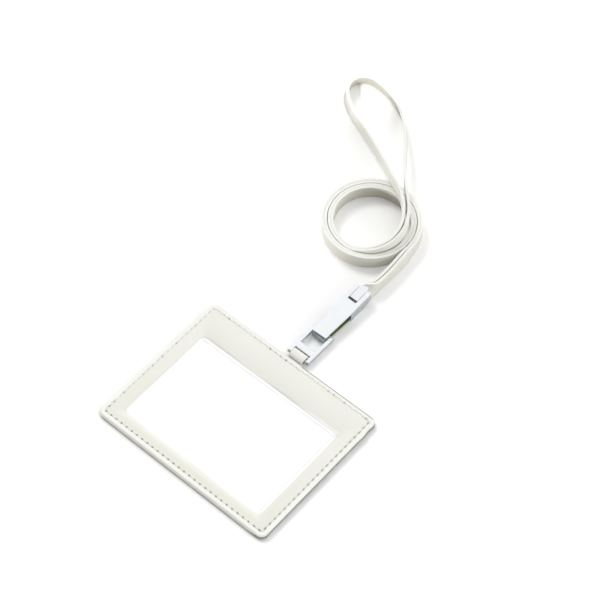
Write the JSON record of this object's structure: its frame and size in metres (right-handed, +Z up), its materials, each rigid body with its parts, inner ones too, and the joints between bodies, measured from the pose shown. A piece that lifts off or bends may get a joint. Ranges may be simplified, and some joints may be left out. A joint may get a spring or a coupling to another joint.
{
  "type": "id badge wallet with neck lanyard",
  "caption": "Sewn leather window wallet for an identity card, hung by a ladder link from a snap hook on a flat leather neck strap.",
  "frame": {"origin": "middle of the wallet's back face, which lies on the table", "axes": "+X along the wallet's long edge towards the card pocket's mouth, +Y from the wallet towards the hook and the neck strap, +Z up from the back face towards the window"},
  "size_m": [0.1507, 0.2549, 0.017],
  "materials": {
    "panel_leather": "ivory, fine grain, soft sheen",
    "strap_leather": "ivory, smooth, cut edges a little whiter",
    "filler_board": "plain board",
    "clear_film": "clear, glossy",
    "card_stock": "blank white, matt",
    "plated_metal": "bright plating",
    "spring_steel": "plain wire"
  },
  "bodies": {
    "hook": {"hook_body": "plated_metal", "gate_pin": "plated_metal", "lever_pin": "plated_metal", "left_strap_lead": "strap_leather", "left_strap_coil": "strap_leather", "left_strap_loop": "strap_leather", "right_strap_lead": "strap_leather", "right_strap_coil": "strap_leather", "right_strap_loop": "strap_leather"},
    "link": {"link_frame": "plated_metal"},
    "wallet": {"front_panel": "panel_leather", "back_panel": "panel_leather", "edge_filler": "filler_board", "window_film": "clear_film", "hanging_tab": "panel_leather"},
    "card": {"insert_card": "card_stock"},
    "gate": {"gate": "plated_metal", "gate_spring": "spring_steel"},
    "lever": {"clamp_lever": "plated_metal"}
  },
  "joints": [
    {"name": "link_swing", "type": "hinge", "parent": "hook", "child": "link", "pos_m": [0, 0.0655, 0.0024], "axis": [-1, 0, 0], "range_deg": [-60, 60]},
    {"name": "wallet_swing", "type": "hinge", "parent": "link", "child": "wallet", "pos_m": [0, 0.0468, 0.0024], "axis": [-1, 0, 0], "range_deg": [-90, 100]},
    {"name": "card_slide", "type": "slide", "parent": "wallet", "child": "card", "axis": [1, 0, 0], "range_m": [0, 0.09]},
    {"name": "gate_open", "type": "hinge", "parent": "hook", "child": "gate", "pos_m": [0, 0.0836, 0.00145], "axis": [-1, 0, 0], "range_deg": [0, 10], "stiffness_Nm_per_rad": 0.04, "springref_deg": -8.59},
    {"name": "lever_lift", "type": "hinge", "parent": "hook", "child": "lever", "pos_m": [0, 0.0912, 0.00582], "axis": [1, 0, 0], "range_deg": [0, 75]}
  ]
}
